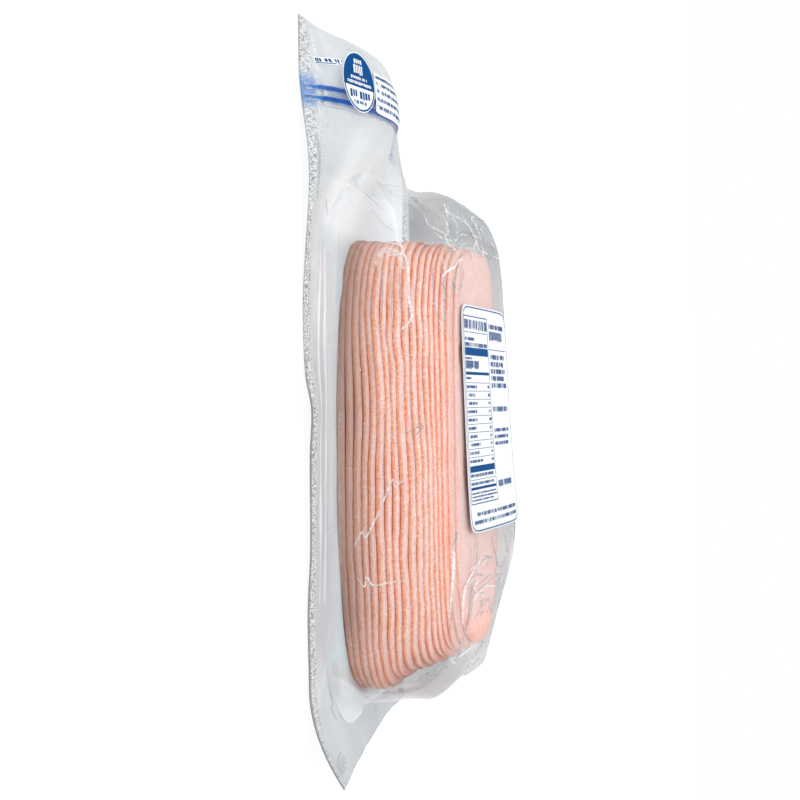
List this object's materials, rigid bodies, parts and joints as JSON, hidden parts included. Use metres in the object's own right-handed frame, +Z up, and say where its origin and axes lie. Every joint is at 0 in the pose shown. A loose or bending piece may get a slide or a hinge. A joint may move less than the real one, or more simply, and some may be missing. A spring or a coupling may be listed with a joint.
{
  "type": "pouch of sliced ham",
  "caption": "Clear zip-top pouch of sliced ham lying on its flat web: bowed header with a press-to-close zip, deep formed pocket over a stack of thin slices, back label.",
  "frame": {"origin": "under the middle of the pouch, on the surface that it lies on", "axes": "+X across the pouch, from the side where the film hugs the slices to the side with the empty shoulder; +Y along the pouch towards the zip and header; +Z up, from the flat web to the pocket's upper face"},
  "size_m": [0.17, 0.28, 0.059],
  "materials": {
    "web_film": "glossy packing film with a white print backing, welded and finely knurled along its margins",
    "pocket_film": "clear glossy formed film, drawn tight over pink and orange edges of sliced ham",
    "sliced_ham": "moist cut cured ham, mottled pink and orange",
    "zip_profile": "blue extruded zip profile, satin",
    "label_paper": "white coated label paper with blue rules, satin"
  },
  "bodies": {
    "root": {"front_web": "web_film", "filled_pocket": "pocket_film", "zip_track_1": "zip_profile", "zip_track_2": "zip_profile", "back_label": "label_paper"}
  },
  "joints": []
}
